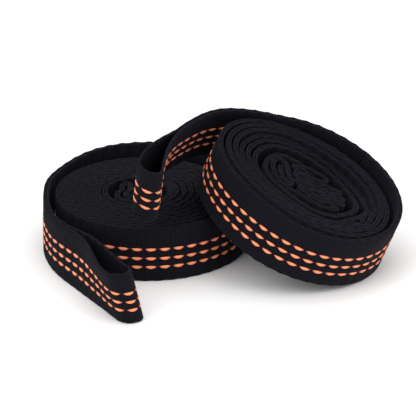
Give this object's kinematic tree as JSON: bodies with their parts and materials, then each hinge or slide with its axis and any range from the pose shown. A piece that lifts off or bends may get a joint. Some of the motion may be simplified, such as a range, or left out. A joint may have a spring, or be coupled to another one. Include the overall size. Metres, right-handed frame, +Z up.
{
  "type": "hammock tree straps",
  "caption": "Pair of rolled hammock tree straps of doubled webbing with woven tracer rows, bar tacks and an anchor loop standing out of each roll.",
  "frame": {"origin": "middle of the pair's footprint, on the surface that it lies on", "axes": "+X across both rolls, from the lower roll towards the upper one; +Z up; the anchor loops point towards -Y"},
  "size_m": [0.1554, 0.1358, 0.064],
  "materials": {
    "webbing": "matt black woven polyester webbing with crosswise ribs",
    "tracer_yarn": "bright orange polyester yarn with a slight sheen",
    "tack_thread": "black bonded sewing thread, slightly glossy"
  },
  "bodies": {
    "lower_roll": {"lower_base_webbing": "webbing", "lower_loop_webbing": "webbing", "lower_bar_tack_1": "tack_thread", "lower_bar_tack_2": "tack_thread", "lower_bar_tack_3": "tack_thread", "lower_bar_tack_4": "tack_thread", "lower_bar_tack_5": "tack_thread", "lower_bar_tack_6": "tack_thread", "lower_bar_tack_7": "tack_thread", "lower_coil_tracer_1": "tracer_yarn", "lower_coil_tracer_2": "tracer_yarn", "lower_coil_tracer_3": "tracer_yarn"},
    "lower_tail": {"lower_anchor_loop": "webbing", "lower_loop_tracer_1": "tracer_yarn", "lower_loop_tracer_2": "tracer_yarn", "lower_loop_tracer_3": "tracer_yarn"},
    "upper_roll": {"upper_base_webbing": "webbing", "upper_loop_webbing": "webbing", "upper_bar_tack_1": "tack_thread", "upper_bar_tack_2": "tack_thread", "upper_bar_tack_3": "tack_thread", "upper_bar_tack_4": "tack_thread", "upper_bar_tack_5": "tack_thread", "upper_bar_tack_6": "tack_thread", "upper_bar_tack_7": "tack_thread", "upper_coil_tracer_1": "tracer_yarn", "upper_coil_tracer_2": "tracer_yarn", "upper_coil_tracer_3": "tracer_yarn"},
    "upper_tail": {"upper_anchor_loop": "webbing", "upper_loop_tracer_1": "tracer_yarn", "upper_loop_tracer_2": "tracer_yarn", "upper_loop_tracer_3": "tracer_yarn"}
  },
  "joints": [
    {"name": "lower_loop_swing", "type": "hinge", "parent": "lower_roll", "child": "lower_tail", "pos_m": [-0.07726, 0.02239, 0.0125], "axis": [0, 0, -1], "range_deg": [-5, 35]},
    {"name": "upper_roll_lift", "type": "slide", "parent": "lower_roll", "child": "upper_roll", "axis": [0, 0, 1], "range_m": [0, 0.06]},
    {"name": "upper_loop_swing", "type": "hinge", "parent": "upper_roll", "child": "upper_tail", "pos_m": [0.02253, 0.04182, 0.04054], "axis": [-0.3551, 0.1816, -0.917], "range_deg": [0, 35]}
  ]
}
